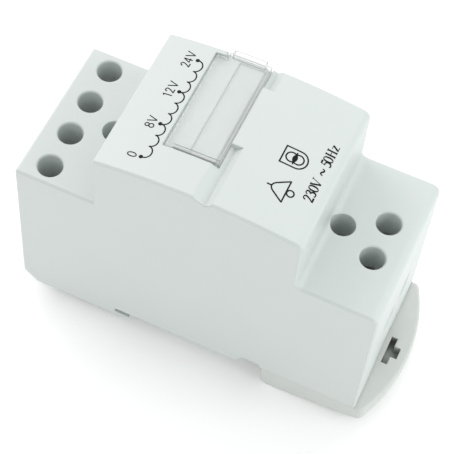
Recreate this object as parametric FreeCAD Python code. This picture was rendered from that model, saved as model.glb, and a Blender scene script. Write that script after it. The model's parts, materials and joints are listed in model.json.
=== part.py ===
import FreeCAD, Part
import math
import os

Vector = FreeCAD.Vector

# Doorbell transformer for a 35 mm mounting rail, in millimetres.
# X runs along the housing, Y across it and Z away from the rail.
# The origin lies on the rail's contact plane, midway across and under the middle of the nose.

# Housing
body_width = 36.0
body_length = 80.8
nose_length = 45.0
shoulder_height = 40.0
nose_rise = 15.0
crown_rise = 2.0
wall = 1.4
roof = 2.6
shoulder_roof = 2.4
base_clearance = 0.15
edge_chamfer = 0.4
nose_left_radius = 0.6
nose_right_radius = 1.8
shoulder_left_radius = 0.6
shoulder_right_radius = 2.0
nose_root_radius = 1.6

# Rail seat, fixed hook and feet
rail_width = 35.0
rail_thickness = 1.0
rail_centre = 0.5
rail_gap = 0.3
rail_edge_gap = 0.4
hook_reach = 3.0
hook_angle = 35.0
foot_drop = 2.5
foot_chamfer_length = 3.4
foot_chamfer_height = 3.2
notch_length = 5.8
notch_ramp = 1.3
notch_rise = 2.5
notch_radius = 1.2
floor_thickness = 4.0
pocket_roof = 2.8

# Sliding rail clip
clip_travel = 3.5
clip_gap = 0.3
clip_top = 1.0
clip_heel_drop = 5.2
clip_end_drop = 3.3
clip_toe_drop = 1.6
clip_heel_radius = 1.6
clip_side_inset = 0.2
tab_side_reach = 1.6
tab_arc_radius = 38.0
tab_corner_radius = 1.4
tab_edge_radius = 0.6
tooth_reach = 2.2
tooth_width = 22.0
tooth_chamfer = 1.6
runner_stem_width = 7.0
runner_head_width = 13.0
runner_stem_height = 1.6
runner_head_height = 1.2
runner_length = 15.0
channel_gap = 0.3
channel_lip = 1.05
channel_roof = 1.6
slot_width = 1.4
slot_length = 7.0
slot_bay_width = 2.9
slot_bay_length = 2.8
slot_depth = 2.6
slot_wall_gap = 1.0
slot_place = -1.2
stop_radius = 1.2
stop_depth = 1.9
stop_offset = 10.0

# Terminals
secondary_names = ("0v", "8v", "12v", "24v")
primary_names = ("line", "neutral")
secondary_screw_inset = 6.0
primary_screw_inset = 6.65
screw_hole_diameter = 5.4
hole_chamfer = 0.25
screw_head_depth = 8.4
screw_head_diameter = 5.0
screw_head_height = 2.0
screw_diameter = 3.0
screw_slot_width = 0.9
screw_slot_depth = 0.9
screw_tip_gap = 0.1
thread_gap = 0.15
thread_pitch = 0.5
clamp_turns = 6.5
cage_width = 5.3
cage_length = 6.6
cage_wall = 0.5
cage_top = 1.6
cage_floor = 0.9
cage_side_gap = 0.3
cage_head_gap = 0.35
wire_space = 4.3
bar_thickness = 1.2
bar_head_room = 2.1
bar_side_gap = 0.3
bar_end_gap = 0.3
bar_tail = 1.7
comb_thickness = 1.2
comb_gap = 0.3
comb_press_gap = 0.1
tube_wall = 1.0
tube_head_gap = 0.3
barrier_drop = 3.0
entry_width = 4.6
entry_height = 4.6
entry_flare = 0.7

# Case screws
case_screw_left_offset = 3.8
case_screw_right_offset = 2.9
case_head_depth = 8.0
case_tube_floor = 2.0
case_shank_gap = 0.2
case_screw_length = 16.0
case_post_radius = 3.1
case_post_gap = 0.1

# Label window
window_left = -11.5
window_right = 0.75
window_front = -9.1
window_gap = 0.25
cover_thickness = 1.2
cover_seat_gap = 0.15
rim_width = 0.9
rim_depth = 0.5
rim_gap = 0.3
lip_left = -7.8
lip_right = -0.6
lip_width = 1.3
lip_rise = 1.2
hinge_pin_radius = 0.3
hinge_pin_gap = 0.12
hinge_pin_length = 0.9
ear_length = 2.2
ear_thickness = 1.4
ear_gap = 0.5
card_left = -6.2
card_thickness = 0.3
card_gap = 0.1
card_recess = 0.4
card_margin = 0.9
groove_left = -1.0
groove_bottom = 1.8
groove_right = 3.3
groove_depth = 1.35
land_front = -3.0
land_back = 12.4

# Core and coil
core_side_gap = 1.1
core_top_gap = 0.6
coil_wall_gap = 0.6
coil_window_gap = 0.4
bobbin_wall = 1.0
bobbin_gap = 0.15
winding_inset = 0.5
tape_thickness = 0.3
winding_corner = 3.0
cradle_gap = 0.15
cradle_thickness = 1.6
cradle_height = 6.0
rib_thickness = 1.6
lead_width = 1.2
lead_thickness = 0.6
lead_gap = 0.05
lead_side_gap = 0.4

# Length by which a cutting solid passes the face that it opens
cut_over = 1.5

half_width = body_width / 2
half_length = body_length / 2
half_nose = nose_length / 2
inner_half_width = half_width - wall
inner_half_length = half_length - wall
inner_half_nose = half_nose - wall
nose_edge_height = shoulder_height + nose_rise
nose_top = nose_edge_height + crown_rise
crown_radius = (half_nose ** 2 + crown_rise ** 2) / (2 * crown_rise)
crown_centre = nose_top - crown_radius
shoulder_ceiling = shoulder_height - shoulder_roof
pocket_front = window_front + window_gap + rim_width + rim_gap
pocket_right = window_right - window_gap - rim_width - rim_gap

flange_gap = rail_thickness + rail_gap
rail_left = rail_centre - rail_width / 2
rail_right = rail_centre + rail_width / 2
hook_tip = rail_left + hook_reach
hook_root = hook_tip - (foot_drop - flange_gap) / math.tan(math.radians(hook_angle))
slot_end = rail_left - rail_edge_gap
seat_end = rail_right - notch_length
skirt_height = clip_top + clip_gap
clip_heel = rail_right + clip_side_inset
notch_end = clip_heel - clip_gap
channel_top = clip_top + runner_stem_height + runner_head_height + channel_gap
runner_start = half_length - wall - clip_gap - runner_length
stop_place = runner_start + runner_length / 2

secondary_screw_x = secondary_screw_inset - half_length
primary_screw_x = half_length - primary_screw_inset
case_screw_left_x = -half_nose - case_screw_left_offset
case_screw_right_x = half_nose + case_screw_right_offset
terminal_pitch = (2 * (inner_half_width - cage_side_gap) - cage_width) / (len(secondary_names) - 1)
screw_head_top = shoulder_height - screw_head_depth
screw_head_base = screw_head_top - screw_head_height
clamp_travel = clamp_turns * thread_pitch
cage_top_height = screw_head_base - cage_head_gap - clamp_travel
cage_roof_height = cage_top_height - cage_top
bar_top = cage_roof_height - bar_head_room
bar_base = bar_top - bar_thickness
wire_floor = bar_base - wire_space
wire_centre = bar_base - wire_space / 2
cage_base = wire_floor - cage_floor
bar_width = cage_width - 2 * cage_wall - 2 * bar_side_gap
barrier_thickness = terminal_pitch - cage_width - 2 * cage_side_gap
screw_hole_radius = screw_hole_diameter / 2
case_head_top = shoulder_height - case_head_depth
case_head_base = case_head_top - screw_head_height

# Laminations cut without waste: 5 half-legs long and 6 high, with windows 3 long and 1 high
half_leg = min((2 * inner_half_nose - 2 * core_side_gap) / 5,
               (nose_edge_height - roof - core_top_gap - floor_thickness) / 6)
core_half_length = 5 * half_leg / 2
core_height = 6 * half_leg
core_window_half = 3 * half_leg / 2
core_top_height = floor_thickness + core_height
core_axis_height = floor_thickness + core_height / 2
core_stack = 2 * (inner_half_width - coil_wall_gap - half_leg)
coil_half = 2 * half_leg - coil_window_gap
coil_half_width = core_stack / 2 + half_leg - coil_window_gap
chamber_half = core_window_half - bobbin_gap


def box(x0, x1, y0, y1, z0, z1):
    return Part.makeBox(x1 - x0, y1 - y0, z1 - z0, Vector(x0, y0, z0))


def post(x, y, z0, z1, radius):
    return Part.makeCylinder(radius, z1 - z0, Vector(x, y, z0))


def rod(x, z, y0, y1, radius):
    return Part.makeCylinder(radius, y1 - y0, Vector(x, y0, z), Vector(0, 1, 0))


def profile(steps, place):
    # A closed face: a step is a point, or a pair of points for an arc through the first to the second.
    points = [place(*step) if not isinstance(step[0], tuple) else place(*step[1]) for step in steps]
    edges = []
    for i, step in enumerate(steps):
        if isinstance(step[0], tuple):
            edges.append(Part.Arc(points[i - 1], place(*step[0]), points[i]).toShape())
        else:
            edges.append(Part.makeLine(points[i - 1], points[i]))
    return Part.Face(Part.Wire(edges))


def across(steps, y0, y1):
    # A side profile in X and Z, carried across the housing.
    return profile(steps, lambda x, z: Vector(x, y0, z)).extrude(Vector(0, y1 - y0, 0))


def upward(steps, z0, z1):
    # A plan in X and Y, carried upward.
    return profile(steps, lambda x, y: Vector(x, y, z0)).extrude(Vector(0, 0, z1 - z0))


def along(steps, x0, x1):
    # A section in Y and Z, carried along the housing.
    return profile(steps, lambda y, z: Vector(x0, y, z)).extrude(Vector(x1 - x0, 0, 0))


def rounded(half_y, half_z, corner, centre_z):
    # A rectangle in Y and Z with round corners.
    cut = corner * (1 - math.sqrt(0.5))
    steps = []
    for sy, sz in ((1, 1), (-1, 1), (-1, -1), (1, -1)):
        side = (sy * half_y, centre_z + sz * (half_z - corner))
        cap = (sy * (half_y - corner), centre_z + sz * half_z)
        middle = (sy * (half_y - cut), centre_z + sz * (half_z - cut))
        first, last = (side, cap) if sy == sz else (cap, side)
        steps.append(first)
        steps.append((middle, last))
    return steps


def crown_height(x, depth=0.0):
    return crown_centre + math.sqrt((crown_radius - depth) ** 2 - x ** 2)


def under_crown(x0, x1, depth, height, y0, y1):
    # The space from a surface that follows the crown, at a depth below it, up to a level.
    middle = (x0 + x1) / 2
    steps = [
        (x1, height),
        (x0, height),
        (x0, crown_height(x0, depth)),
        ((middle, crown_height(middle, depth)), (x1, crown_height(x1, depth))),
    ]
    return across(steps, y0, y1)


def edges_across(shape, x, z):
    # Edges that run straight across the housing at one place of its side profile.
    found = []
    for edge in shape.Edges:
        ends = [v.Point for v in edge.Vertexes]
        if len(ends) == 2 and all(abs(p.x - x) < 1e-3 and abs(p.z - z) < 1e-3 for p in ends):
            found.append(edge)
    return found


def funnel(y, side):
    # A square wire entry through an end wall, wider at its mouth.
    def ring(depth, spread):
        x = side * (half_length - depth)
        half_y = entry_width / 2 + spread
        half_z = entry_height / 2 + spread
        corners = ((-half_y, -half_z), (half_y, -half_z), (half_y, half_z), (-half_y, half_z))
        points = [Vector(x, y + dy, wire_centre + dz) for dy, dz in corners]
        return Part.makePolygon(points + points[:1])

    mouth = Part.makeLoft([ring(0.0, entry_flare), ring(entry_flare, 0.0)], True, True)
    return mouth.fuse(Part.makeLoft([ring(entry_flare, 0.0), ring(wall + cut_over, 0.0)], True, True))


def row(count):
    # Places across the housing of a row of terminals.
    return [(i - (count - 1) / 2) * terminal_pitch for i in range(count)]


def terminals():
    # Name, screw place and the side of the housing, -1 for the secondary end and 1 for the primary end.
    listed = [(n, secondary_screw_x, y, -1) for n, y in zip(secondary_names, row(len(secondary_names)))]
    return listed + [(n, primary_screw_x, y, 1) for n, y in zip(primary_names, row(len(primary_names)))]


def case_screws():
    return [("left", case_screw_left_x), ("right", case_screw_right_x)]


def comb_span(screw_x, side):
    # The wall between a terminal chamber and the coil: its two faces, in rising order.
    near = screw_x - side * (cage_length / 2 + comb_gap)
    return sorted((near, near - side * comb_thickness))


def chamfer_height(x):
    # Height of the slanted corner under the left end.
    return -foot_drop + foot_chamfer_height * (1 - (x + half_length) / foot_chamfer_length)


def underside(left):
    # The lower outline from the left end to the right: foot, hook, rail seat, notch and skirt.
    drop = notch_radius * math.sqrt(0.5)
    steps = [
        (left, chamfer_height(left)),
        (foot_chamfer_length - half_length, -foot_drop),
        (hook_root, -foot_drop),
        (hook_tip, -flange_gap),
        (slot_end, -flange_gap),
        (slot_end, 0.0),
        (seat_end, 0.0),
        (seat_end + notch_ramp, notch_rise),
        (notch_end - notch_radius, notch_rise),
        ((notch_end - notch_radius + drop, notch_rise - notch_radius + drop), (notch_end, skirt_height)),
    ]
    return steps


def channel(x0, x1):
    # The T-shaped way of the clip's runner.
    stem = runner_stem_width / 2 + channel_gap
    head = runner_head_width / 2 + channel_gap
    lip = skirt_height + channel_lip
    steps = [
        (-stem, clip_top),
        (stem, clip_top),
        (stem, lip),
        (head, lip),
        (head, channel_top),
        (-head, channel_top),
        (-head, lip),
        (-stem, lip),
    ]
    return along(steps, x0, x1)


def front_shell():
    outline = underside(-half_length) + [
        (half_length, skirt_height),
        (half_length, shoulder_height),
        (half_nose, shoulder_height),
        (half_nose, nose_edge_height),
        ((0.0, nose_top), (-half_nose, nose_edge_height)),
        (-half_nose, shoulder_height),
        (-half_length, shoulder_height),
    ]
    shell = across(outline, -half_width, half_width)
    rounds = (
        (half_length, shoulder_height, shoulder_right_radius),
        (half_nose, nose_edge_height, nose_right_radius),
        (half_nose, shoulder_height, nose_root_radius),
        (-half_nose, nose_edge_height, nose_left_radius),
        (-half_length, shoulder_height, shoulder_left_radius),
    )
    for x, z, radius in rounds:
        shell = shell.makeFillet(radius, edges_across(shell, x, z))
    upper = [e for f in shell.Faces if abs(abs(f.CenterOfMass.y) - half_width) < 1e-6 for e in f.Edges
             if e.BoundBox.ZMin > skirt_height - 1e-6 and e.BoundBox.ZMax > skirt_height + notch_rise]
    shell = shell.makeChamfer(edge_chamfer, upper)

    # Hollow under the shoulders and the nose
    below = -foot_drop - cut_over
    shell = shell.cut(box(-inner_half_length, inner_half_length, -inner_half_width, inner_half_width,
                          below, shoulder_ceiling))
    steps = [
        (-inner_half_nose, below),
        (inner_half_nose, below),
        (inner_half_nose, crown_height(inner_half_nose, roof)),
        ((0.0, nose_top - roof), (-inner_half_nose, crown_height(inner_half_nose, roof))),
    ]
    shell = shell.cut(across(steps, -inner_half_width, inner_half_width))

    # Terminal chambers: barriers between the cages, a cross wall over the bars and a tube over each screw
    added = []
    for screw_x, side in ((secondary_screw_x, -1), (primary_screw_x, 1)):
        comb0, comb1 = comb_span(screw_x, side)
        added.append(box(comb0, comb1, -inner_half_width, inner_half_width,
                         bar_top + comb_press_gap, shoulder_ceiling))
        x0, x1 = sorted((side * inner_half_length, screw_x - side * (cage_length / 2 + comb_gap)))
        for y in (-terminal_pitch, 0.0, terminal_pitch):
            added.append(box(x0, x1, y - barrier_thickness / 2, y + barrier_thickness / 2,
                             cage_base - barrier_drop, shoulder_ceiling))
    inside = box(-half_length, half_length, -half_width + edge_chamfer, half_width - edge_chamfer,
                 below, shoulder_ceiling)
    for name, x, y, side in terminals():
        tube = post(x, y, screw_head_top + tube_head_gap, shoulder_ceiling, screw_hole_radius + tube_wall)
        added.append(tube.common(inside))
    for name, x in case_screws():
        added.append(post(x, 0, case_head_base - case_tube_floor, shoulder_ceiling,
                          screw_hole_radius + tube_wall))

    # Ribs under the nose that hold the core down
    for side in (-1, 1):
        x = side * (core_half_length - rib_thickness)
        added.append(box(x - rib_thickness / 2, x + rib_thickness / 2, -inner_half_width, inner_half_width,
                         core_top_height + cradle_gap, crown_height(x, roof / 2)))
    shell = shell.fuse(added)

    # Screw holes, wire entries and the way of the clip's runner
    cuts = []
    for name, x, y, side in terminals():
        cuts.append(post(x, y, screw_head_top, shoulder_height + cut_over, screw_hole_radius))
        cuts.append(Part.makeCone(screw_hole_radius, screw_hole_radius + hole_chamfer, hole_chamfer,
                                  Vector(x, y, shoulder_height - hole_chamfer)))
        cuts.append(funnel(y, side))
    for name, x in case_screws():
        cuts.append(post(x, 0, case_head_base, shoulder_height + cut_over, screw_hole_radius))
        cuts.append(post(x, 0, case_head_base - case_screw_length, shoulder_height,
                         screw_diameter / 2 + case_shank_gap))
    cuts.append(channel(inner_half_length - cut_over, half_length + cut_over))

    # Label window: seat of the cover, slots of its rims, pocket of the card, hinge bore and two nail grooves
    hinge_x, hinge_z = hinge_axis()
    above = nose_top + cut_over
    seat_depth = cover_thickness + cover_seat_gap
    ear_front = half_width - ear_thickness
    ear_right = window_left + ear_length
    card_depth = seat_depth + card_recess + card_thickness
    cuts.append(under_crown(ear_right, window_right, seat_depth, above, window_front, half_width + cut_over))
    cuts.append(under_crown(window_left, ear_right, seat_depth, above, window_front, ear_front))
    cuts.append(under_crown(hinge_x + cover_thickness - rim_gap, window_right, seat_depth + rim_depth,
                            above, window_front, pocket_front))
    cuts.append(under_crown(pocket_right, window_right, seat_depth + rim_depth,
                            above, window_front, half_width + cut_over))
    cuts.append(under_crown(card_left - card_gap, pocket_right, card_depth,
                            above, pocket_front, half_width - card_margin + card_gap))
    cuts.append(rod(hinge_x, hinge_z, window_front - hinge_pin_length - hinge_pin_gap, half_width + cut_over,
                    hinge_pin_radius + hinge_pin_gap))
    groove = [
        (groove_left, crown_height(groove_left)),
        (groove_bottom, crown_height(groove_bottom) - groove_depth),
        (groove_right, crown_height(groove_right)),
        (groove_right, above),
        (groove_left, above),
    ]
    cuts.append(across(groove, -half_width - cut_over, land_front))
    cuts.append(across(groove, land_back, half_width + cut_over))
    return shell.cut(cuts).removeSplitter()


def hinge_axis():
    # The axis lies midway in the cover, so that its round edge turns in place.
    x = window_left + window_gap + cover_thickness / 2
    return x, crown_height(x) - cover_thickness / 2


def rear_base():
    left = -inner_half_length + base_clearance
    right = inner_half_length - base_clearance
    width = inner_half_width - base_clearance
    deck_height = channel_top + channel_roof
    deck_start = core_half_length + core_side_gap / 2
    outline = underside(left) + [
        (right, skirt_height),
        (right, deck_height),
        (deck_start, deck_height),
        (deck_start, floor_thickness),
        (left, floor_thickness),
    ]
    base = across(outline, -width, width)

    # Cored pockets under the left foot, with a rib along the middle
    pocket_left = foot_chamfer_length - half_length
    pocket_right = slot_end - cradle_thickness
    pocket_top = floor_thickness - pocket_roof
    for side in (-1, 1):
        y0, y1 = sorted((side * cradle_thickness / 2, side * (width - cradle_thickness)))
        base = base.cut(box(pocket_left, pocket_right, y0, y1, -foot_drop - cut_over, pocket_top))

    added = []
    # Cradle round the foot of the core
    stack_half = core_stack / 2 + cradle_gap
    ends = core_half_length + cradle_gap
    for side in (-1, 1):
        y0, y1 = sorted((side * stack_half, side * (stack_half + cradle_thickness)))
        added.append(box(-ends, ends, y0, y1, floor_thickness, floor_thickness + cradle_height))
        x0, x1 = sorted((side * ends, side * (ends + cradle_thickness)))
        added.append(box(x0, x1, -stack_half - cradle_thickness, stack_half + cradle_thickness,
                         floor_thickness, floor_thickness + cradle_height))

    # Combs that carry the terminal bars
    notches = []
    rows = ((secondary_screw_x, -1, secondary_names), (primary_screw_x, 1, primary_names))
    for screw_x, side, names in rows:
        comb0, comb1 = comb_span(screw_x, side)
        added.append(box(comb0, comb1, -width, width, floor_thickness, bar_top))
        for y in row(len(names)):
            half = bar_width / 2 + comb_press_gap
            notches.append(box(comb0 - cut_over, comb1 + cut_over, y - half, y + half,
                               bar_base, bar_top + cut_over))

    # Posts of the case screws and pegs that stop the clip
    post_top = case_head_base - case_tube_floor - case_post_gap
    for name, x in case_screws():
        added.append(post(x, 0, floor_thickness, post_top, case_post_radius))
    for side in (-1, 1):
        added.append(post(stop_place, side * stop_offset, skirt_height - stop_depth, channel_top,
                          stop_radius))
    base = base.fuse(added).cut(notches)
    for name, x in case_screws():
        base = base.cut(post(x, 0, case_head_base - case_screw_length - cut_over, post_top + cut_over,
                             screw_diameter / 2))
    return base.cut(channel(runner_start - channel_gap, right + cut_over)).removeSplitter()


def rail_clip():
    half = half_width - clip_side_inset
    arc_drop = tab_arc_radius - math.sqrt(tab_arc_radius ** 2 - half ** 2)
    tip = half_length + tab_side_reach + arc_drop
    slope = (clip_heel_drop - clip_end_drop) / (half_length - clip_heel - clip_heel_radius)
    side = [
        (clip_heel, clip_top),
        (tip, clip_top),
        (tip, -clip_toe_drop),
        (half_length, -clip_end_drop),
        (clip_heel + clip_heel_radius, -clip_heel_drop),
        (clip_heel + slope * clip_heel_radius, clip_heel_radius - clip_heel_drop),
    ]
    plan = [
        (half_length, -half),
        (tip - arc_drop, -half),
        ((tip, 0.0), (tip - arc_drop, half)),
        (half_length, half),
    ]
    wedge = across(side, -half, half)
    tab = wedge.common(upward(plan, -clip_heel_drop, clip_top))
    corners = [e for e in tab.Edges if abs(e.CenterOfMass.x - tip + arc_drop) < 1e-3
               and abs(abs(e.CenterOfMass.y) - half) < 1e-3]
    tab = tab.makeFillet(tab_corner_radius, corners)
    top = [e for e in tab.Edges if e.CenterOfMass.z > clip_top - 1e-3
           and e.CenterOfMass.x > half_length + 1e-3]
    tab = tab.makeFillet(tab_edge_radius, top)
    clip = wedge.common(box(clip_heel, half_length, -half, half, -clip_heel_drop, clip_top)).fuse(tab)

    # Tooth under the rail's edge
    tooth_tip = rail_right - tooth_reach
    tooth = [
        (tooth_tip, -flange_gap),
        (clip_heel + clip_heel_radius, -flange_gap),
        (clip_heel + clip_heel_radius, -clip_heel_drop),
        (tooth_tip + tooth_chamfer, -clip_heel_drop),
        (tooth_tip, tooth_chamfer - clip_heel_drop),
    ]
    clip = clip.fuse(across(tooth, -tooth_width / 2, tooth_width / 2))

    # Runner in the base's channel
    stem_top = clip_top + runner_stem_height
    runner = [
        (-runner_stem_width / 2, clip_top),
        (runner_stem_width / 2, clip_top),
        (runner_stem_width / 2, stem_top),
        (runner_head_width / 2, stem_top),
        (runner_head_width / 2, stem_top + runner_head_height),
        (-runner_head_width / 2, stem_top + runner_head_height),
        (-runner_head_width / 2, stem_top),
        (-runner_stem_width / 2, stem_top),
    ]
    clip = clip.fuse(along(runner, runner_start, runner_start + runner_length))

    # Screwdriver slot in the tab with a bay in its outer side, and the grooves that the stop pegs run in
    slot_start = half_length + slot_wall_gap
    for width, length in ((slot_width, slot_length), (slot_bay_width, slot_bay_length)):
        clip = clip.cut(box(slot_start, slot_start + width, slot_place - length / 2, slot_place + length / 2,
                            clip_top - slot_depth, clip_top + cut_over))
    reach = stop_radius + clip_gap
    floor = skirt_height - stop_depth - clip_gap
    above = clip_top + cut_over
    for y in (-stop_offset, stop_offset):
        for x in (stop_place - clip_travel, stop_place):
            clip = clip.cut(post(x, y, floor, above, reach))
        clip = clip.cut(box(stop_place - clip_travel, stop_place, y - reach, y + reach, floor, above))
    return clip.removeSplitter()


def label_cover():
    hinge_x, hinge_z = hinge_axis()
    front = window_front + window_gap
    back = half_width - window_gap
    right = window_right - window_gap
    ear_front = half_width - ear_thickness - window_gap
    ear_right = window_left + ear_length + ear_gap

    def plate(x0, x1, y0, y1, rise=0.0, depth=cover_thickness):
        above = nose_top + rise + cut_over
        block = under_crown(x0, x1, depth, above, y0, y1)
        return block.cut(under_crown(x0, x1, -rise, above, y0, y1))

    cover = plate(hinge_x, right, front, ear_front).fuse(plate(ear_right, right, front, back))
    rim_bottom = cover_thickness + rim_depth
    cover = cover.fuse(plate(hinge_x + cover_thickness, right, front, front + rim_width, depth=rim_bottom))
    cover = cover.fuse(plate(right - rim_width, right, front, back, depth=rim_bottom))
    cover = cover.fuse(plate(lip_left, lip_right, back - lip_width, back, rise=lip_rise))
    cover = cover.fuse(rod(hinge_x, hinge_z, front, ear_front, cover_thickness / 2))
    cover = cover.fuse(rod(hinge_x, hinge_z, front - hinge_pin_length, ear_front + hinge_pin_length,
                           hinge_pin_radius))
    return cover.removeSplitter()


def label_card():
    depth = cover_thickness + cover_seat_gap + card_recess
    front = pocket_front + card_gap
    back = half_width - card_margin
    right = pocket_right - card_gap
    card = under_crown(card_left, right, depth + card_thickness, nose_top, front, back)
    return card.cut(under_crown(card_left - cut_over, right + cut_over, depth, nose_top + cut_over,
                                front, back))


def core_outline():
    # Closed outline of the E and I pair, split where the I lies against the legs.
    base = floor_thickness
    low, high = -core_half_length, core_half_length
    joint = high - half_leg
    bay = low + half_leg
    e_steps = [
        (low, base),
        (joint, base),
        (joint, base + half_leg),
        (bay, base + half_leg),
        (bay, base + 2 * half_leg),
        (joint, base + 2 * half_leg),
        (joint, base + 4 * half_leg),
        (bay, base + 4 * half_leg),
        (bay, base + 5 * half_leg),
        (joint, base + 5 * half_leg),
        (joint, base + core_height),
        (low, base + core_height),
    ]
    i_steps = [(joint, base), (high, base), (high, base + core_height), (joint, base + core_height)]
    return e_steps, i_steps


def core_e_stack():
    return across(core_outline()[0], -core_stack / 2, core_stack / 2)


def core_i_stack():
    return across(core_outline()[1], -core_stack / 2, core_stack / 2)


def former_halves():
    # Half width and half height of the bobbin's tube, inside and outside.
    inner = (core_stack / 2 + bobbin_gap, half_leg + bobbin_gap)
    return inner, (inner[0] + bobbin_wall, inner[1] + bobbin_wall)


def coil_block(x0, x1, halves):
    # A block round the axis of the coil, from its half width and half height.
    half_y, half_z = halves
    return box(x0, x1, -half_y, half_y, core_axis_height - half_z, core_axis_height + half_z)


def bobbin():
    inner, outer = former_halves()
    flanges = []
    for x in (-chamber_half, -bobbin_wall / 2, chamber_half - bobbin_wall):
        flanges.append(coil_block(x, x + bobbin_wall, (coil_half_width, coil_half)))
    tube = coil_block(-chamber_half, chamber_half, outer).fuse(flanges)
    return tube.cut(coil_block(-core_window_half, core_window_half, inner)).removeSplitter()


def chamber(side):
    # The two ends of one winding chamber.
    return sorted((side * bobbin_wall / 2, side * (chamber_half - bobbin_wall)))


def wound(side, inset, corner):
    # A full chamber, as far in from the rim of the flanges as the inset.
    x0, x1 = chamber(side)
    return along(rounded(coil_half_width - inset, coil_half - inset, corner, core_axis_height), x0, x1)


def winding(side):
    full = wound(side, winding_inset + tape_thickness, winding_corner)
    return full.cut(coil_block(*chamber(side), former_halves()[1]))


def tape(side):
    outer = wound(side, winding_inset, winding_corner + tape_thickness)
    return outer.cut(wound(side, winding_inset + tape_thickness, winding_corner))


def screw_slot(x, y, top):
    reach = screw_head_diameter / 2 + cut_over
    half = screw_slot_width / 2
    return box(x - reach, x + reach, y - half, y + half, top - screw_slot_depth, top + cut_over)


def clamp_screw(x, y):
    head = post(x, y, screw_head_base, screw_head_top, screw_head_diameter / 2)
    shank = post(x, y, bar_top + screw_tip_gap, screw_head_base, screw_diameter / 2)
    return head.fuse(shank).cut(screw_slot(x, y, screw_head_top)).removeSplitter()


def clamp_cage(x, y):
    half = cage_width / 2
    inner = half - cage_wall
    x0, x1 = x - cage_length / 2, x + cage_length / 2
    cage = box(x0, x1, y - half, y + half, cage_base, cage_top_height)
    hollow = box(x0, x1, y - inner, y + inner, wire_floor, cage_roof_height)
    hole = post(x, y, cage_roof_height, cage_top_height, screw_diameter / 2 + thread_gap)
    return cage.cut([hollow, hole])


def terminal_bar(x, y, side):
    outer = side * (inner_half_length - bar_end_gap)
    comb = comb_span(x, side)
    tail = min(comb, key=lambda face: side * face) - side * bar_tail
    x0, x1 = sorted((outer, tail))
    return box(x0, x1, y - bar_width / 2, y + bar_width / 2, bar_base, bar_top)


def lead(x, y, side):
    # A flat strip from the flange of the bobbin, past the core and on to the tail of the bar.
    level = bar_top + lead_gap
    half = lead_width / 2
    inner = min(comb_span(x, side), key=lambda face: side * face)
    start = side * (chamber_half + lead_gap)
    past = side * (core_half_length + core_side_gap)
    tail = inner - side * bar_tail
    end = inner - side * comb_gap
    lane = max(abs(y), core_stack / 2 + lead_side_gap + half)
    beside = math.copysign(lane, y)
    steps = [
        (start, beside - half),
        (past, beside - half),
        (tail, y - half),
        (end, y - half),
        (end, y + half),
        (tail, y + half),
        (past, beside + half),
        (start, beside + half),
    ]
    return upward(steps, level, level + lead_thickness).removeSplitter()


def case_screw(x):
    head = post(x, 0, case_head_base, case_head_top, screw_head_diameter / 2)
    shank = post(x, 0, case_head_base - case_screw_length, case_head_base, screw_diameter / 2)
    return head.fuse(shank).cut(screw_slot(x, 0, case_head_top)).removeSplitter()


def pieces():
    yield "front_shell", front_shell()
    yield "rear_base", rear_base()
    yield "rail_clip", rail_clip()
    yield "label_cover", label_cover()
    yield "label_card", label_card()
    yield "core_e_stack", core_e_stack()
    yield "core_i_stack", core_i_stack()
    yield "bobbin", bobbin()
    yield "secondary_winding", winding(-1)
    yield "primary_winding", winding(1)
    yield "secondary_tape", tape(-1)
    yield "primary_tape", tape(1)
    for name, x, y, side in terminals():
        yield "clamp_screw_" + name, clamp_screw(x, y)
        yield "clamp_cage_" + name, clamp_cage(x, y)
        yield "terminal_bar_" + name, terminal_bar(x, y, side)
        yield "lead_" + name, lead(x, y, side)
    for name, x in case_screws():
        yield "case_screw_" + name, case_screw(x)


os.makedirs("parts", exist_ok=True)
for node, shape in pieces():
    shape.exportStep(os.path.join("parts", node + ".step"))
    print(node, len(shape.Solids), shape.isValid(), round(shape.Volume, 2))
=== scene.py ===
import bmesh
import bpy
import json
import math
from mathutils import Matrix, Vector


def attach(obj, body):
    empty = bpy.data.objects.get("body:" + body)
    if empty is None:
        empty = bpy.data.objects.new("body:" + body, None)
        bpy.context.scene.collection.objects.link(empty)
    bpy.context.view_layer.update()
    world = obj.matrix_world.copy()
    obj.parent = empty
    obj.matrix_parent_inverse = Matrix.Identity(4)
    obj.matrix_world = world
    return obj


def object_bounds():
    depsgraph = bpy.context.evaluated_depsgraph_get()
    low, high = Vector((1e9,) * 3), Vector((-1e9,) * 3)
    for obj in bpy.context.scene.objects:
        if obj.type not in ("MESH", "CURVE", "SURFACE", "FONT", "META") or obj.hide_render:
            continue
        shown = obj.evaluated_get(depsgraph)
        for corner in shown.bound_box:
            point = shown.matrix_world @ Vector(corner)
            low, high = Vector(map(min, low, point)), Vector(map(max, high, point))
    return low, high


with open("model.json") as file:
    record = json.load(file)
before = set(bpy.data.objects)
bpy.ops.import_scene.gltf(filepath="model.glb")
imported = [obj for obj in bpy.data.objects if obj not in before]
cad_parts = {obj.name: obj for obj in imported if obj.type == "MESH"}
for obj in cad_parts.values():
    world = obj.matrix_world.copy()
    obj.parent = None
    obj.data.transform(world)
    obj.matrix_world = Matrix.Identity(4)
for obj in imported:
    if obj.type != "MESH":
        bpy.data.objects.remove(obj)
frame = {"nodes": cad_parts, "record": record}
cadLow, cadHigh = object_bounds()
nodes = frame["nodes"]
mm = 0.001  # places are given in millimetres, the scene is in metres
print("frame loaded:", len(nodes), "nodes")


# a node with its settings, its fixed values and its links in one go
def addNode(tree, kind, inputs=None, **settings):
    node = tree.nodes.new(kind)
    for label, value in settings.items():
        setattr(node, label, value)
    for label, value in (inputs or {}).items():
        if isinstance(value, bpy.types.NodeSocket):
            tree.links.new(value, node.inputs[label])
        else:
            node.inputs[label].default_value = value
    return node


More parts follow.
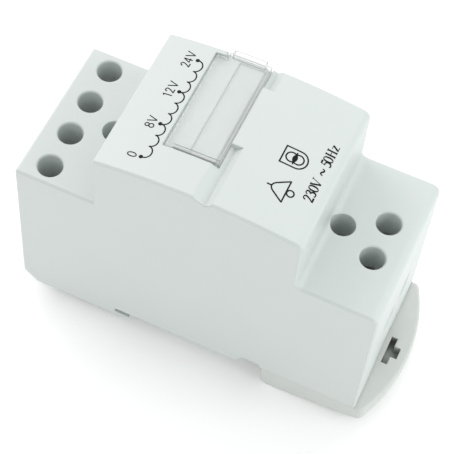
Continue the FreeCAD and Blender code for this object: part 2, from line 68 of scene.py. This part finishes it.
def newGroup(name, inputs, outputs):
    group = bpy.data.node_groups.new(name, "ShaderNodeTree")
    for label, kind, value in inputs:
        socket = group.interface.new_socket(name=label, in_out="INPUT", socket_type="NodeSocket" + kind)
        socket.default_value = value
    for label, kind in outputs:
        group.interface.new_socket(name=label, in_out="OUTPUT", socket_type="NodeSocket" + kind)
    return group, group.nodes.new("NodeGroupInput").outputs, group.nodes.new("NodeGroupOutput").inputs


def blendColour(tree, factor, first, second):
    mix = addNode(tree, "ShaderNodeMix", {0: factor, 6: first, 7: second}, data_type="RGBA")
    return mix.outputs[2]


def spread(tree, value, low, high):
    ranged = addNode(tree, "ShaderNodeMapRange", {"Value": value, "To Min": low, "To Max": high})
    return ranged.outputs["Result"]


# how far a value has come on its way from start to end
def progress(tree, value, start, end):
    ranged = addNode(tree, "ShaderNodeMapRange", {"Value": value, "From Min": start, "From Max": end})
    return ranged.outputs["Result"]


def reckon(tree, operation, *values):
    return addNode(tree, "ShaderNodeMath", dict(enumerate(values)), operation=operation).outputs[0]


# eroded mould skin: a fine grain with a slow drift of tone and gloss
mouldNoise = {"driftScale": 60.0, "driftDetail": 3.0, "grainDetail": 2.0, "grainRoughness": 0.6}


def buildMouldGrain(noise):
    group, given, result = newGroup(
        "mouldGrain",
        [("Tone", "Color", (0.8, 0.8, 0.8, 1)), ("Shade", "Color", (0.7, 0.7, 0.7, 1)),
         ("Gloss", "Float", 0.4), ("Gloss Spread", "Float", 0.08), ("Grain Scale", "Float", 5000.0)],
        [("Tone", "Color"), ("Roughness", "Float"), ("Height", "Float")])
    coords = addNode(group, "ShaderNodeTexCoord").outputs["Object"]
    drift = addNode(group, "ShaderNodeTexNoise",
                    {"Vector": coords, "Scale": noise["driftScale"], "Detail": noise["driftDetail"]})
    grain = addNode(group, "ShaderNodeTexNoise",
                    {"Vector": coords, "Scale": given["Grain Scale"], "Detail": noise["grainDetail"],
                     "Roughness": noise["grainRoughness"]})
    group.links.new(blendColour(group, drift.outputs["Fac"], given["Tone"], given["Shade"]), result["Tone"])
    swing = reckon(group, "MULTIPLY", grain.outputs["Fac"], given["Gloss Spread"])
    group.links.new(reckon(group, "ADD", swing, given["Gloss"]), result["Roughness"])
    group.links.new(grain.outputs["Fac"], result["Height"])
    return group


# drawn or plated metal: long scratches one way, over soft stains
drawNoise = {"scratchScale": 6000.0, "scratchDetail": 3.0, "stainScale": 420.0, "stainDetail": 4.0,
             "glossSwing": 0.22}


def buildMetalDraw(noise):
    group, given, result = newGroup(
        "metalDraw",
        [("Tone", "Color", (0.7, 0.7, 0.7, 1)), ("Stain", "Color", (0.5, 0.5, 0.5, 1)),
         ("Gloss", "Float", 0.25), ("Draw", "Vector", (1, 1, 0.05))],
        [("Tone", "Color"), ("Roughness", "Float"), ("Height", "Float")])
    coords = addNode(group, "ShaderNodeTexCoord").outputs["Object"]
    pulled = addNode(group, "ShaderNodeVectorMath", {0: coords, 1: given["Draw"]}, operation="MULTIPLY")
    scratch = addNode(group, "ShaderNodeTexNoise",
                      {"Vector": pulled.outputs[0], "Scale": noise["scratchScale"],
                       "Detail": noise["scratchDetail"]})
    stain = addNode(group, "ShaderNodeTexNoise",
                    {"Vector": coords, "Scale": noise["stainScale"], "Detail": noise["stainDetail"]})
    group.links.new(blendColour(group, stain.outputs["Fac"], given["Tone"], given["Stain"]), result["Tone"])
    swing = reckon(group, "MULTIPLY", scratch.outputs["Fac"], noise["glossSwing"])
    group.links.new(reckon(group, "ADD", swing, given["Gloss"]), result["Roughness"])
    group.links.new(scratch.outputs["Fac"], result["Height"])
    return group


# layers lying side by side along one direction, such as sheets in a stack or turns in a coil
layerNoise = {"wanderScale": 300.0}


def buildLayerBands(noise):
    group, given, result = newGroup(
        "layerBands",
        [("Across", "Vector", (0, 1, 0)), ("Pitch", "Float", 0.0005), ("Wander", "Float", 0.1)],
        [("Band", "Float"), ("Height", "Float")])
    coords = addNode(group, "ShaderNodeTexCoord").outputs["Object"]
    along = addNode(group, "ShaderNodeVectorMath", {0: coords, 1: given["Across"]}, operation="DOT_PRODUCT")
    count = reckon(group, "DIVIDE", along.outputs["Value"], given["Pitch"])
    wander = addNode(group, "ShaderNodeTexNoise", {"Vector": coords, "Scale": noise["wanderScale"]})
    stray = reckon(group, "MULTIPLY", wander.outputs["Fac"], given["Wander"])
    turns = reckon(group, "MULTIPLY", reckon(group, "ADD", count, stray), math.tau)
    band = progress(group, reckon(group, "COSINE", turns), -1.0, 1.0)
    group.links.new(band, result["Band"])
    group.links.new(band, result["Height"])
    return group


mouldGrain = buildMouldGrain(mouldNoise)
metalDraw = buildMetalDraw(drawNoise)
layerBands = buildLayerBands(layerNoise)


def newMaterial(name):
    material = bpy.data.materials.new(name)
    material.use_nodes = True
    return material, material.node_tree, material.node_tree.nodes["Principled BSDF"]


# bump from a height, over edges that are softened by edgeRadius
def softNormal(tree, shader, height, depth, edgeRadius):
    edge = addNode(tree, "ShaderNodeBevel", {"Radius": edgeRadius}, samples=6)
    bump = addNode(tree, "ShaderNodeBump", {"Height": height, "Distance": depth, "Normal": edge.outputs[0]})
    tree.links.new(bump.outputs[0], shader.inputs["Normal"])


def mouldSkin(tree, finish):
    return addNode(tree, "ShaderNodeGroup",
                   {"Tone": (*finish["tone"], 1), "Shade": (*finish["shade"], 1), "Gloss": finish["gloss"],
                    "Gloss Spread": finish["glossSpread"], "Grain Scale": finish["grainScale"]},
                   node_tree=mouldGrain)


def mouldedPlastic(name, finish):
    material, tree, shader = newMaterial(name)
    skin = mouldSkin(tree, finish)
    tree.links.new(skin.outputs["Tone"], shader.inputs["Base Color"])
    tree.links.new(skin.outputs["Roughness"], shader.inputs["Roughness"])
    shader.inputs["IOR"].default_value = finish["ior"]
    softNormal(tree, shader, skin.outputs["Height"], finish["grainDepth"], finish["edgeRadius"])
    return material


# the same plastic with painted shade: its colour darkens in its narrow recesses
def recessShadedPlastic(name, finish):
    material = mouldedPlastic(name, finish)
    tree = material.node_tree
    colour = tree.nodes["Principled BSDF"].inputs["Base Color"]
    # painted shade: ambient occlusion pulls the base colour towards a dark tone where recesses are narrow
    nook = addNode(tree, "ShaderNodeAmbientOcclusion", {"Distance": finish["recessShadeReach"]}, samples=8,
                   only_local=True)
    unshaded = progress(tree, nook.outputs["AO"], finish["recessShadeFull"], finish["recessShadeNone"])
    shadedColour = blendColour(tree, unshaded, (*finish["recessShade"], 1), colour.links[0].from_socket)
    tree.links.new(shadedColour, colour)
    return material


# clear sheet: its faces pass light, and its edges and the inner edge of its front rim are painted as dark
# lines,
# which fade beside the hinge: painted shade, the sheet's colour darkens along these lines
def clearPlastic(name, finish):
    material, tree, shader = newMaterial(name)
    skin = mouldSkin(tree, finish)
    rounded = addNode(tree, "ShaderNodeBevel", {"Radius": finish["lineWidth"]}, samples=8).outputs[0]
    flat = addNode(tree, "ShaderNodeNewGeometry").outputs["Normal"]
    level = addNode(tree, "ShaderNodeVectorMath", {0: rounded, 1: flat}, operation="DOT_PRODUCT")
    bend = progress(tree, level.outputs["Value"], finish["bendFlat"], finish["bendSharp"])
    place = addNode(tree, "ShaderNodeSeparateXYZ", {0: addNode(tree, "ShaderNodeTexCoord").outputs["Object"]})
    fade = progress(tree, place.outputs["X"], finish["fadeStart"], finish["fadeEnd"])
    rim = reckon(tree, "COMPARE", place.outputs["Y"], finish["rimPlace"], finish["rimLine"])
    lines = reckon(tree, "MAXIMUM", bend, reckon(tree, "MULTIPLY", rim, finish["rimShare"]))
    edge = reckon(tree, "MULTIPLY", lines, fade)
    # painted shade: along the edge lines and the rim line the colour darkens towards a dark edge tone
    tone = blendColour(tree, edge, skin.outputs["Tone"], (*finish["paintedEdgeShade"], 1))
    alpha = spread(tree, edge, finish["alpha"], finish["edgeAlpha"])
    gloss = spread(tree, edge, skin.outputs["Roughness"], finish["edgeGloss"])
    tree.links.new(tone, shader.inputs["Base Color"])
    tree.links.new(alpha, shader.inputs["Alpha"])
    tree.links.new(gloss, shader.inputs["Roughness"])
    shader.inputs["IOR"].default_value = finish["ior"]
    shader.inputs["Transmission Weight"].default_value = finish["clear"]
    softNormal(tree, shader, skin.outputs["Height"], finish["grainDepth"], finish["edgeRadius"])
    return material


def drawnMetal(name, finish):
    material, tree, shader = newMaterial(name)
    skin = addNode(tree, "ShaderNodeGroup",
                   {"Tone": (*finish["tone"], 1), "Stain": (*finish["stain"], 1), "Gloss": finish["gloss"],
                    "Draw": finish["draw"]}, node_tree=metalDraw)
    tree.links.new(skin.outputs["Tone"], shader.inputs["Base Color"])
    tree.links.new(skin.outputs["Roughness"], shader.inputs["Roughness"])
    shader.inputs["Metallic"].default_value = 1.0
    softNormal(tree, shader, skin.outputs["Height"], finish["scratchDepth"], finish["edgeRadius"])
    return material


def layeredStock(name, finish):
    material, tree, shader = newMaterial(name)
    layers = addNode(tree, "ShaderNodeGroup",
                     {"Across": finish["across"], "Pitch": finish["pitch"], "Wander": finish["wander"]},
                     node_tree=layerBands)
    tone = blendColour(tree, layers.outputs["Band"], (*finish["gap"], 1), (*finish["tone"], 1))
    tree.links.new(tone, shader.inputs["Base Color"])
    rough = spread(tree, layers.outputs["Band"], finish["gapGloss"], finish["gloss"])
    tree.links.new(rough, shader.inputs["Roughness"])
    shader.inputs["Metallic"].default_value = finish["metallic"]
    softNormal(tree, shader, layers.outputs["Height"], finish["layerDepth"], finish["edgeRadius"])
    return material


# colours are linear, lengths in metres, and gloss is the roughness
casingFinish = {"tone": (0.626, 0.670, 0.655), "shade": (0.606, 0.652, 0.637), "gloss": 0.38,
                "glossSpread": 0.10, "grainScale": 5200.0, "grainDepth": 0.000003, "ior": 1.53,
                "edgeRadius": 0.00035}
# the clip finish carries a painted shade tone for its recesses
clipFinish = {"tone": (0.625, 0.648, 0.622), "shade": (0.605, 0.628, 0.600), "gloss": 0.36,
              "glossSpread": 0.12, "grainScale": 4200.0, "grainDepth": 0.000004, "ior": 1.48,
              "edgeRadius": 0.0004, "recessShade": (0.20, 0.21, 0.19), "recessShadeReach": 0.0025,
              "recessShadeFull": 0.25, "recessShadeNone": 0.75}
# the window finish carries a painted shade tone for its edge lines
windowFinish = {"tone": (0.96, 0.985, 0.98), "shade": (0.94, 0.975, 0.965), "gloss": 0.03,
                "glossSpread": 0.03, "grainScale": 900.0, "grainDepth": 0.000001, "ior": 1.49,
                "edgeRadius": 0.00012, "alpha": 0.3, "clear": 0.35, "paintedEdgeShade": (0.3, 0.32, 0.32),
                "edgeAlpha": 0.85, "edgeGloss": 0.7, "lineWidth": 0.0004, "bendFlat": 0.995, "bendSharp": 0.95,
                "rimPlace": -0.00795, "rimLine": 0.00013, "rimShare": 0.95,
                "fadeStart": -0.0104, "fadeEnd": -0.0092}
formerFinish = {"tone": (0.62, 0.60, 0.52), "shade": (0.56, 0.54, 0.46), "gloss": 0.40, "glossSpread": 0.15,
                "grainScale": 3600.0, "grainDepth": 0.000005, "ior": 1.5, "edgeRadius": 0.0002}
tapeFinish = {"tone": (0.72, 0.58, 0.16), "shade": (0.64, 0.49, 0.11), "gloss": 0.28, "glossSpread": 0.10,
              "grainScale": 1500.0, "grainDepth": 0.000012, "ior": 1.5, "edgeRadius": 0.0002}
cardFinish = {"tone": (0.64, 0.672, 0.662), "shade": (0.62, 0.652, 0.642), "gloss": 0.62, "glossSpread": 0.15,
              "grainScale": 7000.0, "grainDepth": 0.000005, "ior": 1.45, "edgeRadius": 0.0001}
platedFinish = {"tone": (0.72, 0.72, 0.70), "stain": (0.60, 0.60, 0.57), "gloss": 0.22, "draw": (1, 1, 0.08),
                "scratchDepth": 0.000002, "edgeRadius": 0.00012}
brassFinish = {"tone": (0.78, 0.58, 0.27), "stain": (0.66, 0.46, 0.20), "gloss": 0.24, "draw": (0.08, 1, 1),
               "scratchDepth": 0.000002, "edgeRadius": 0.00012}
stripFinish = {"tone": (0.70, 0.69, 0.66), "stain": (0.62, 0.55, 0.46), "gloss": 0.30, "draw": (0.1, 1, 0.1),
               "scratchDepth": 0.000002, "edgeRadius": 0.0001}
laminationFinish = {"tone": (0.16, 0.165, 0.18), "gap": (0.05, 0.05, 0.055), "across": (0, 1, 0),
                    "pitch": 0.0005, "wander": 0.04, "gloss": 0.38, "gapGloss": 0.7, "metallic": 0.85,
                    "layerDepth": 0.00003, "edgeRadius": 0.0001}
copperFinish = {"tone": (0.72, 0.30, 0.12), "gap": (0.30, 0.10, 0.035), "across": (1, 0, 0),
                "pitch": 0.00042, "wander": 0.3, "gloss": 0.22, "gapGloss": 0.5, "metallic": 1.0,
                "layerDepth": 0.00006, "edgeRadius": 0.0001}

finishes = {
    "casing": mouldedPlastic("casingPlastic", casingFinish),
    "clip": recessShadedPlastic("clipPlastic", clipFinish),
    "window": clearPlastic("windowPlastic", windowFinish),
    "card": mouldedPlastic("labelCard", cardFinish),
    "lamination": layeredStock("laminationStack", laminationFinish),
    "former": mouldedPlastic("formerPlastic", formerFinish),
    "copper": layeredStock("copperTurns", copperFinish),
    "tape": mouldedPlastic("coilTape", tapeFinish),
    "plated_steel": drawnMetal("platedSteel", platedFinish),
    "terminal_brass": drawnMetal("terminalBrass", brassFinish),
    "lead_strip": drawnMetal("tinnedStrip", stripFinish),
}

for part in frame["record"]["subparts"]:
    mesh = nodes[part["node"]].data
    mesh.materials.clear()
    mesh.materials.append(finishes[part["material_slot"]])
print("finishes set on", len(nodes), "nodes")


# black print on the crowned top of the nose, which is a cylinder lying along Y
crown = {"radius": 127.56, "axisHeight": -70.56, "inkLift": 0.02, "inkDepth": 0.06}
inkFinish = {"tone": (0.010, 0.011, 0.012), "shade": (0.022, 0.023, 0.024), "gloss": 0.42, "glossSpread": 0.2,
             "grainScale": 9000.0, "grainDepth": 0.000002, "ior": 1.15, "edgeRadius": 0.00002}
ink = mouldedPlastic("printInk", inkFinish)


def onCrown(x, y):
    height = crown["axisHeight"] + math.sqrt(crown["radius"] ** 2 - x ** 2) + crown["inkLift"]
    return Vector((x, y, height)) * mm


# a rounded path through a few points, each with its own line width
def smoothPath(points, steps=6):
    path = [Vector(point) for point in points]
    last = len(path) - 1
    fine = []
    for i in range(last):
        before, start, end, after = (path[min(max(i + shift, 0), last)] for shift in (-1, 0, 1, 2))
        for step in range(steps):
            t = step / steps
            fine.append(0.5 * (2 * start + (end - before) * t
                               + (2 * before - 5 * start + 4 * end - after) * t ** 2
                               + (3 * start - before - 3 * end + after) * t ** 3))
    return fine + [path[-1]]


def fullTurn(count):
    return [math.tau * i / count for i in range(count)]


def halfTurn(steps):
    return [math.pi * step / steps - math.pi / 2 for step in range(steps + 1)]


def ringPath(x, y, reachX, reachY, thin, thick, count=28):
    return [Vector((x + reachX * math.cos(a), y + reachY * math.sin(a),
                    thin + (thick - thin) * abs(math.sin(a)))) for a in fullTurn(count)]


# a flat line of ink along a path of (x, y, width)
def inkLine(bm, path, closed=False):
    count = len(path)
    left, right = [], []
    for i, point in enumerate(path):
        ahead = path[(i + 1) % count] if closed or i + 1 < count else point
        behind = path[i - 1] if closed or i > 0 else point
        run = (ahead - behind).to_2d().normalized()
        side = Vector((-run.y, run.x)) * point.z / 2
        left.append(bm.verts.new(onCrown(point.x + side.x, point.y + side.y)))
        right.append(bm.verts.new(onCrown(point.x - side.x, point.y - side.y)))
    for i in range(count if closed else count - 1):
        j = (i + 1) % count
        bm.faces.new((right[i], right[j], left[j], left[i]))


def inkDot(bm, x, y, radius, count=20):
    bm.faces.new([bm.verts.new(onCrown(x + radius * math.cos(a), y + radius * math.sin(a)))
                  for a in fullTurn(count)])


def printPiece(name, bm):
    mesh = bpy.data.meshes.new(name)
    bm.to_mesh(mesh)
    bm.free()
    mesh.materials.append(ink)
    piece = bpy.data.objects.new(name, mesh)
    bpy.context.scene.collection.objects.link(piece)
    film = piece.modifiers.new("inkFilm", "SOLIDIFY")
    film.thickness = crown["inkDepth"] * mm
    film.offset = -1.0
    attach(piece, "housing")


# letter forms on a unit height: (kind, points as along, up, weight from 0 thin to 1 thick)
letterForms = {
    "0": [("ring", (0.27, 0.5, 0.23, 0.48))],
    "1": [("line", ((0.28, 0.0, 1), (0.28, 1.0, 1))), ("line", ((0.28, 1.0, 0), (0.10, 0.84, 0))),
          ("serif", ((0.12, 0.0), (0.44, 0.0)))],
    "2": [("curve", ((0.05, 0.74, 0.7), (0.12, 0.93, 0.5), (0.26, 0.99, 0.3), (0.41, 0.90, 0.8),
                     (0.42, 0.70, 1), (0.28, 0.38, 0.6), (0.05, 0.05, 0.3))),
          ("line", ((0.03, 0.05, 1), (0.50, 0.05, 1)))],
    "3": [("curve", ((0.06, 0.80, 0.5), (0.13, 0.95, 0.4), (0.25, 0.99, 0.3), (0.39, 0.90, 0.9),
                     (0.38, 0.68, 0.9), (0.20, 0.54, 0.2))),
          ("curve", ((0.20, 0.54, 0.2), (0.39, 0.46, 0.8), (0.45, 0.26, 1), (0.36, 0.06, 0.8),
                     (0.18, 0.01, 0.3), (0.05, 0.11, 0.7)))],
    "4": [("line", ((0.38, 0.0, 1), (0.38, 1.0, 1))), ("line", ((0.38, 0.98, 0), (0.02, 0.28, 0))),
          ("line", ((0.0, 0.28, 0), (0.53, 0.28, 0)))],
    "5": [("line", ((0.13, 0.96, 1), (0.48, 0.96, 1))), ("line", ((0.14, 0.98, 0), (0.08, 0.56, 0))),
          ("curve", ((0.08, 0.56, 0.2), (0.25, 0.62, 0.4), (0.42, 0.47, 0.9), (0.43, 0.22, 1),
                     (0.30, 0.04, 0.7), (0.15, 0.01, 0.4), (0.04, 0.10, 0.7)))],
    "8": [("ring", (0.27, 0.76, 0.19, 0.22)), ("ring", (0.27, 0.27, 0.23, 0.26))],
    "V": [("line", ((0.02, 1.0, 1), (0.34, 0.0, 1))), ("line", ((0.34, 0.0, 0), (0.66, 1.0, 0))),
          ("serif", ((-0.07, 0.98), (0.20, 0.98))), ("serif", ((0.54, 0.98), (0.76, 0.98)))],
    "H": [("line", ((0.13, 0.0, 1), (0.13, 1.0, 1))), ("line", ((0.58, 0.0, 1), (0.58, 1.0, 1))),
          ("line", ((0.13, 0.52, 0), (0.58, 0.52, 0))), ("serif", ((0.0, 0.98), (0.26, 0.98))),
          ("serif", ((0.45, 0.98), (0.71, 0.98))), ("serif", ((0.0, 0.02), (0.26, 0.02))),
          ("serif", ((0.45, 0.02), (0.71, 0.02)))],
    "z": [("line", ((0.04, 0.64, 0), (0.42, 0.64, 0))), ("line", ((0.40, 0.64, 1), (0.04, 0.03, 1))),
          ("line", ((0.02, 0.03, 0), (0.44, 0.03, 0)))],
    "~": [("curve", ((0.0, 0.32, 0.4), (0.11, 0.54, 0.6), (0.27, 0.52, 1), (0.42, 0.36, 1),
                     (0.57, 0.34, 0.6), (0.67, 0.56, 0.4)))],
}


def letterPoint(text, startY, along, up):
    return text["baseX"] - up * text["height"], startY + along * text["height"] * text["width"]


def letterWeight(text, share):
    return text["thin"] + (text["thick"] - text["thin"]) * share


# one letter: its foot at (baseX, startY), its top towards -X, reading along +Y
def inkLetter(bm, letter, startY, text):
    for kind, points in letterForms[letter]:
        if kind == "ring":
            along, up, reachAlong, reachUp = points
            x, y = letterPoint(text, startY, along, up)
            ring = ringPath(x, y, reachUp * text["height"], reachAlong * text["height"] * text["width"],
                            text["thin"], text["thick"])
            inkLine(bm, ring, closed=True)
        elif kind == "serif":
            if text["serif"]:
                inkLine(bm, [Vector((*letterPoint(text, startY, along, up), text["thin"]))
                             for along, up in points])
        else:
            path = [Vector((*letterPoint(text, startY, along, up), letterWeight(text, share)))
                    for along, up, share in points]
            inkLine(bm, smoothPath(path) if kind == "curve" else path)


tapScale = {"dotX": -14.06, "dots": (-13.35, -4.55, 4.25, 13.1), "dotRadius": 0.43, "footX": -13.74,
            "arcsBetween": 3, "arcReach": 1.30, "arcSteps": 18, "line": 0.28,
            "labels": (("0", -14.0), ("8", -6.15), ("V", -4.7), ("1", 2.2), ("2", 3.4), ("V", 4.9),
                       ("2", 10.7), ("4", 11.95), ("V", 13.4)),
            "text": {"baseX": -15.0, "height": 1.92, "width": 1.06, "thin": 0.21, "thick": 0.24,
                     "serif": False}}


def printTapScale(scale):
    bm = bmesh.new()
    for y in scale["dots"]:
        inkDot(bm, scale["dotX"], y, scale["dotRadius"])
    for start, end in zip(scale["dots"], scale["dots"][1:]):
        pitch = (end - start) / scale["arcsBetween"]
        for i in range(scale["arcsBetween"]):
            middle = start + (i + 0.5) * pitch
            arc = [Vector((scale["footX"] + scale["arcReach"] * math.cos(a), middle + pitch / 2 * math.sin(a),
                           scale["line"])) for a in halfTurn(scale["arcSteps"])]
            inkLine(bm, arc)
    for letter, y in scale["labels"]:
        inkLetter(bm, letter, y, scale["text"])
    for y in (scale["dots"][0], scale["dots"][-1]):
        inkLine(bm, [Vector((scale["dotX"], y, scale["line"])), Vector((scale["footX"], y, scale["line"]))])
    printPiece("tap_scale_print", bm)


bellSign = {"axisY": -8.15, "stemX": (10.6, 11.6), "shoulderX": 11.95, "shoulderHalf": 0.75,
            "waistX": 12.85, "waistHalf": 1.4, "mouthX": 14.72, "mouthHalf": 2.62, "mouthOver": 0.1,
            "clapperX": 15.58, "clapperRadius": 0.74, "line": 0.31}


def printBell(sign):
    bm = bmesh.new()
    line, y, radius = sign["line"], sign["axisY"], sign["clapperRadius"]
    inkLine(bm, [Vector((x, y, line)) for x in sign["stemX"]])
    flank = [(sign["mouthX"], sign["mouthHalf"]), (sign["waistX"], sign["waistHalf"]),
             (sign["shoulderX"], sign["shoulderHalf"])]
    outline = [(x, y - half, line) for x, half in flank] + [(sign["stemX"][1], y, line)]
    outline += [(x, y + half, line) for x, half in reversed(flank)]
    inkLine(bm, smoothPath(outline))
    mouthHalf = sign["mouthHalf"] + sign["mouthOver"]
    inkLine(bm, [Vector((sign["mouthX"], y + side * mouthHalf, line)) for side in (-1, 1)])
    inkLine(bm, ringPath(sign["clapperX"], y, radius, radius, line, line), closed=True)
    printPiece("bell_print", bm)


# the lens between the circles has its widths at shares of its half length
shieldSign = {"axisY": -0.28, "flatX": 10.7, "half": 2.05, "bendX": 13.95, "tipX": 15.9, "bendSteps": 20,
              "circlesX": (12.48, 13.96), "circleRadius": 1.12, "barX": 13.22, "barHalf": 1.45,
              "lensHalf": 0.55, "lens": ((-1.0, 0.1), (-0.5, 0.4), (0.0, 0.5), (0.5, 0.4), (1.0, 0.1)),
              "line": 0.31}


def printShield(sign):
    bm = bmesh.new()
    line, y, half, radius = sign["line"], sign["axisY"], sign["half"], sign["circleRadius"]
    bend = [(sign["bendX"] + (sign["tipX"] - sign["bendX"]) * math.cos(a), y + half * math.sin(a))
            for a in halfTurn(sign["bendSteps"])]
    outline = [(sign["flatX"], y - half), *bend, (sign["flatX"], y + half)]
    inkLine(bm, [Vector((*point, line)) for point in outline])
    inkLine(bm, [Vector((sign["flatX"], y + side * (half + line / 2), line)) for side in (-1, 1)])
    for x in sign["circlesX"]:
        inkLine(bm, ringPath(x, y, radius, radius, line, line), closed=True)
    inkLine(bm, [Vector((sign["barX"], y + side * sign["barHalf"], line)) for side in (-1, 1)])
    lens = [(sign["barX"], y + share * sign["lensHalf"], wide) for share, wide in sign["lens"]]
    inkLine(bm, smoothPath(lens))
    printPiece("shield_print", bm)


ratingText = {"letters": (("2", -7.85), ("3", -6.55), ("0", -5.3), ("V", -4.0), ("~", -1.1), ("5", 1.25),
                          ("0", 2.3), ("H", 3.75), ("z", 5.6)),
              "text": {"baseX": 20.12, "height": 2.06, "width": 1.1, "thin": 0.15, "thick": 0.37,
                       "serif": True}}


def printRating(rating):
    bm = bmesh.new()
    for letter, y in rating["letters"]:
        inkLetter(bm, letter, y, rating["text"])
    printPiece("rating_print", bm)


printTapScale(tapScale)
printBell(bellSign)
printShield(shieldSign)
printRating(ratingText)
print("print laid on the nose")


# plain pale floor under the feet
floorSheet = {"half": 1.6, "tone": (0.93, 0.93, 0.93), "shade": (0.90, 0.90, 0.90), "gloss": 0.6,
              "glossSpread": 0.1, "grainScale": 1200.0, "grainDepth": 0.000002, "ior": 1.45,
              "edgeRadius": 0.0001, "glow": 0.14}


def layFloor(sheet):
    half = sheet["half"]
    mesh = bpy.data.meshes.new("floorSheet")
    corners = [(-half, -half), (half, -half), (half, half), (-half, half)]
    mesh.from_pydata([(x, y, cadLow.z) for x, y in corners], [], [(0, 1, 2, 3)])
    paper = mouldedPlastic("floorPaper", sheet)
    shader = paper.node_tree.nodes["Principled BSDF"]
    shader.inputs["Emission Color"].default_value = (1, 1, 1, 1)
    shader.inputs["Emission Strength"].default_value = sheet["glow"]
    mesh.materials.append(paper)
    floor = bpy.data.objects.new("floorSheet", mesh)
    bpy.context.scene.collection.objects.link(floor)


# softboxes: place, size, power and tint, each aimed at the middle of the object
softboxes = {"leftBox": {"place": (-450, 200, 400), "size": 420, "power": 1.4, "tint": (1.0, 0.95, 0.945)},
             "rightBox": {"place": (480, 40, 330), "size": 360, "power": 0.85, "tint": (0.98, 1.0, 1.0)},
             "backBox": {"place": (60, 560, 400), "size": 420, "power": 0.9, "tint": (1.0, 0.955, 0.95)},
             "frontBox": {"place": (-40, -560, 200), "size": 360, "power": 0.13, "tint": (1.0, 0.9, 0.91)}}
skyFill = {"tint": (0.98, 1.0, 0.998), "strength": 0.81, "backdrop": 0.92}
aim = Vector((0, 0, 28)) * mm  # middle of the object


def hangLights(boxes, sky):
    for name, box in boxes.items():
        lamp = bpy.data.lights.new(name, "AREA")
        lamp.size = box["size"] * mm
        lamp.energy = box["power"]
        lamp.color = box["tint"]
        holder = bpy.data.objects.new(name, lamp)
        holder.location = Vector(box["place"]) * mm
        holder.rotation_euler = (aim - holder.location).to_track_quat("-Z", "Y").to_euler()
        bpy.context.scene.collection.objects.link(holder)
    bpy.context.scene.view_settings.view_transform = "Standard"
    world = bpy.data.worlds.new("skyFill")
    bpy.context.scene.world = world
    world.use_nodes = True
    dome = world.node_tree.nodes["Background"]
    dome.inputs["Color"].default_value = (*sky["tint"], 1)
    seen = addNode(world.node_tree, "ShaderNodeLightPath").outputs["Is Camera Ray"]
    shown = spread(world.node_tree, seen, sky["strength"], sky["backdrop"])
    world.node_tree.links.new(shown, dome.inputs["Strength"])


photoCamera = {"place": (60.87, -175.05, 316.56), "turn": (31.946, -3.342, 24.332), "lens": 127.8,
               "sensor": 36.0, "nearest": 0.01, "farthest": 20.0}


def setCamera(view):
    camera = bpy.data.cameras.new("photoCamera")
    camera.lens = view["lens"]
    camera.sensor_width = view["sensor"]
    camera.clip_start = view["nearest"]
    camera.clip_end = view["farthest"]
    holder = bpy.data.objects.new("photoCamera", camera)
    holder.location = Vector(view["place"]) * mm
    holder.rotation_euler = [math.radians(angle) for angle in view["turn"]]
    bpy.context.scene.collection.objects.link(holder)
    bpy.context.scene.camera = holder


layFloor(floorSheet)
hangLights(softboxes, skyFill)
setCamera(photoCamera)
print("floor, lights and camera set")
